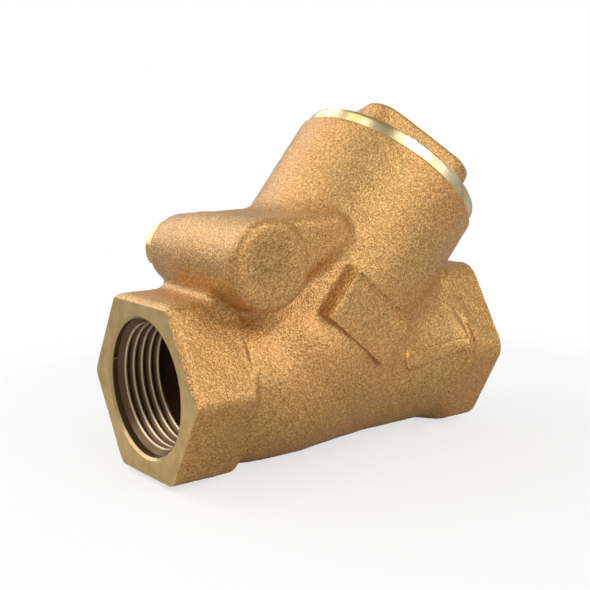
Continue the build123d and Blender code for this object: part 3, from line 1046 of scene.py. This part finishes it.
def paintBody():
    # machined faces get the turned finish, the casting keeps its skin
    b, p = bodyShape, bodyPaint
    mesh = body.data
    setMaterials(mesh, cast, turned, core, threaded)
    x, y, z = (faceValues(mesh, "center") / mm).T
    normal = np.abs(faceValues(mesh, "normal"))
    rod = np.hypot(y, z)
    n, t = neckCoordinates(x, z)
    mast = np.hypot(n, y)
    reach = np.hypot(x - layout["hingeX"], z - layout["hingeZ"])
    deep = castOutside(x, y, z) < -p["skinDepth"]
    depth = np.minimum(x, layout["faceToFace"] - x)
    ends = (depth < p["endMargin"]) & (normal[:, 0] > p["facing"])
    mouths = (depth < b["threadDepth"] + p["mouthMargin"]) & (rod < b["mouthRadius"] + p["mouthMargin"])
    below, beside = p["capThreadMargins"]
    top = (t > layout["neckLength"] - b["capThreadLength"] - below) & (mast < b["capThreadRadius"] + beside)
    top |= t > layout["neckLength"] - p["rimMargin"]
    spot = (y > b["plugSeat"] - p["rimMargin"]) & (normal[:, 1] > p["facing"]) & (reach < b["bossRadius"])
    bores = deep & (reach < b["plugHole"] + p["boreMargin"])
    beside, above = p["seatMargins"]
    port = (mast < b["portRadius"] + b["seatWidth"] + beside) & (np.abs(t) < b["seatTop"] + above)
    machined = ends | mouths | top | spot | bores | port
    # slots: 0 cast, 1 turned, 2 core, 3 threaded
    slots = np.where(mouths & ~ends, 3, machined + 2 * (deep & ~machined))
    mesh.polygons.foreach_set("material_index", slots.astype(np.int32))


def paintCap():
    mesh = cap.data
    setMaterials(mesh, cast, ringWithReflections)
    x, y, z = (faceValues(mesh, "center") / mm).T
    n, t = neckCoordinates(x, z)
    machined = t - layout["neckLength"] < capShape["flangeThickness"] + capShape["ringMargin"]
    mesh.polygons.foreach_set("material_index", machined.astype(np.int32))


paintBody()
paintCap()
innerFinishes = {
    "hinge_pin": turned,
    "hinge_pin_plug": turned,
    "disc_hanger": cast,
    "disc_holder": turned,
    "seat_disc": soft,
    "seat_disc_nut": turned,
    "hanger_washer": turned,
    "hanger_nut": turned,
}
for node, material in innerFinishes.items():
    setMaterials(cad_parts[node].data, material)
print("finishes done")

# Studio
studio = {
    "floorPlace": (0.046, 0, -0.0219),
    "floorRadius": 0.6,
    "floorSides": 96,
    "floorFade": (0.05, 0.16),
    "floorBounce": 0.58,
    "floorSeen": 0.9,
    "floorRoughness": 0.9,
    "floorSpecular": 0.1,
    "shadowShare": 0.3,
    "worldStrength": 0.45,
    "lamps": {  # how far right, up and toward the camera each stands, and its power
        "keyLamp": (-0.6, 0.75, 0.3, 1.1),
        "edgeLamp": (-0.85, 0.53, -0.44, 0.75),
        "rearLamp": (-0.5, 0.7, -0.5, 0.5),
        "rightLamp": (0.75, 0.2, 0.6, 0.6),
        "frontLamp": (0.5, 0.5, 0.7, 1.05),
    },
    "lampTarget": (0.045, 0, 0.02),
    "lampReach": 0.6,
    "lampSize": 0.4,
    "camera": (-0.1211, -0.2263, 0.0661),
    "azimuth": radians(36.02),
    "elevation": radians(10.04),
    "roll": radians(-1.09),
    "lens": 69.8,
    "sensor": 36,
    "clipStart": 0.01,
}


def addWorld(scene):
    world = bpy.data.worlds.new("studioWorld")
    scene.world = world
    world.use_nodes = True
    nodes, links = world.node_tree.nodes, world.node_tree.links
    back = nodes["Background"]
    back.inputs["Color"].default_value = (1, 1, 1, 1)
    seen = nodes.new("ShaderNodeLightPath").outputs["Is Camera Ray"]
    strength = nodes.new("ShaderNodeMix")
    strength.data_type = "FLOAT"
    strength.inputs[2].default_value = studio["worldStrength"]
    strength.inputs[3].default_value = 1.0
    links.new(seen, strength.inputs[0])
    links.new(strength.outputs[0], back.inputs["Strength"])


def addFloor():
    # the camera sees a pale floor with only the object's shadow on it
    s = studio
    bpy.ops.mesh.primitive_circle_add(vertices=s["floorSides"], radius=s["floorRadius"], fill_type="NGON")
    floor = bpy.context.object
    floor.name = "floor"
    floor.location = s["floorPlace"]
    material, nodes, links, shader, coords = newMaterial("floorPaper")
    shader.inputs["Roughness"].default_value = s["floorRoughness"]
    shader.inputs["Specular IOR Level"].default_value = s["floorSpecular"]
    seen = nodes.new("ShaderNodeLightPath").outputs["Is Camera Ray"]
    bounce = mixColour(nodes, links, seen, (s["floorBounce"],) * 3, (s["floorSeen"],) * 3)
    links.new(bounce, shader.inputs["Base Color"])
    length = vectorNode(nodes, links, "LENGTH", coords)["Value"]
    fade = rangeNode(nodes, links, length, *s["floorFade"], kind="SMOOTHSTEP")
    paler = mathsNode(nodes, links, "MULTIPLY", seen, 1 - s["shadowShare"])
    clearness = mathsNode(nodes, links, "MAXIMUM", paler, fade)
    clear = nodes.new("ShaderNodeBsdfTransparent")
    blend = nodes.new("ShaderNodeMixShader")
    links.new(clearness, blend.inputs[0])
    links.new(shader.outputs["BSDF"], blend.inputs[1])
    links.new(clear.outputs["BSDF"], blend.inputs[2])
    links.new(blend.outputs["Shader"], nodes["Material Output"].inputs["Surface"])
    floor.data.materials.append(material)


def addCamera(scene):
    # returns the directions right, up and toward the camera, before its roll
    s = studio
    camera = bpy.data.cameras.new("photoCamera")
    camera.lens = s["lens"]
    camera.sensor_width = s["sensor"]
    camera.clip_start = s["clipStart"]
    eye = bpy.data.objects.new("photoCamera", camera)
    scene.collection.objects.link(eye)
    a, e, roll = s["azimuth"], s["elevation"], s["roll"]
    back = Vector((-sin(a) * cos(e), -cos(a) * cos(e), sin(e)))
    right = Vector((cos(a), -sin(a), 0))
    up = back.cross(right)
    tiltedRight = right * cos(roll) + up * sin(roll)
    tiltedUp = up * cos(roll) - right * sin(roll)
    axes = Matrix((tiltedRight, tiltedUp, back)).transposed().to_4x4()
    eye.matrix_world = Matrix.Translation(Vector(s["camera"])) @ axes
    scene.camera = eye
    return right, up, back


def addLamps(scene, right, up, back):
    s = studio
    for name, (aside, above, front, power) in s["lamps"].items():
        light = bpy.data.lights.new(name, "AREA")
        light.energy = power
        light.size = s["lampSize"]
        piece = bpy.data.objects.new(name, light)
        scene.collection.objects.link(piece)
        toward = (right * aside + up * above + back * front).normalized()
        piece.location = Vector(s["lampTarget"]) + toward * s["lampReach"]
        piece.rotation_euler = (-toward).to_track_quat("-Z", "Y").to_euler()


scene = bpy.context.scene
scene.view_settings.view_transform = "Standard"
addWorld(scene)
addFloor()
addLamps(scene, *addCamera(scene))
print("studio done")
